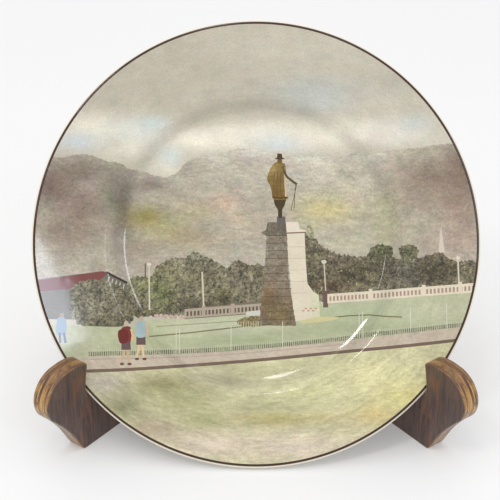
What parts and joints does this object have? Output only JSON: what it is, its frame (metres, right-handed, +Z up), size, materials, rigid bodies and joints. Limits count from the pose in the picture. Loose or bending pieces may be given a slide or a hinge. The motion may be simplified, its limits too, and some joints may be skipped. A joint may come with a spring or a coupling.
{
  "type": "souvenir plate on a stand",
  "caption": "Round printed china souvenir plate leaning in a folding wooden stand with rounded hooked feet and brass hinges, for display.",
  "frame": {"origin": "on the floor plane the stand's boards rest on, under the middle of the part's outline", "axes": "+Z up, +Y from the plate's face towards the stand's hinge, +X to the right as the plate is looked at"},
  "size_m": [0.2666, 0.1574, 0.2191],
  "materials": {
    "glazed_china": "polished",
    "dark_wood": "satin",
    "brass": "satin"
  },
  "bodies": {
    "stand_left": {"stand_leaf_left": "dark_wood", "hinge_lower_flap_left": "brass", "hinge_upper_flap_left": "brass", "hinge_lower_pin": "brass", "hinge_upper_pin": "brass", "screw_lower_left_bottom": "brass", "screw_lower_left_top": "brass", "screw_upper_left_bottom": "brass", "screw_upper_left_top": "brass"},
    "stand_right": {"stand_leaf_right": "dark_wood", "hinge_lower_flap_right": "brass", "hinge_upper_flap_right": "brass", "screw_lower_right_bottom": "brass", "screw_lower_right_top": "brass", "screw_upper_right_bottom": "brass", "screw_upper_right_top": "brass"},
    "plate": {"plate": "glazed_china"}
  },
  "joints": [
    {"name": "plate_lift", "type": "slide", "parent": "stand_left", "child": "plate", "axis": [0, 0.2079, 0.9781], "range_m": [0, 0.25]},
    {"name": "stand_fold", "type": "hinge", "parent": "stand_left", "child": "stand_right", "pos_m": [0, 0.0727, 0.077], "axis": [0, 0, -1], "range_deg": [0, 75.4]}
  ],
  "couplings": [
    {"joint": "stand_fold", "follows": "plate_lift", "rad_per_m": 5.263}
  ]
}
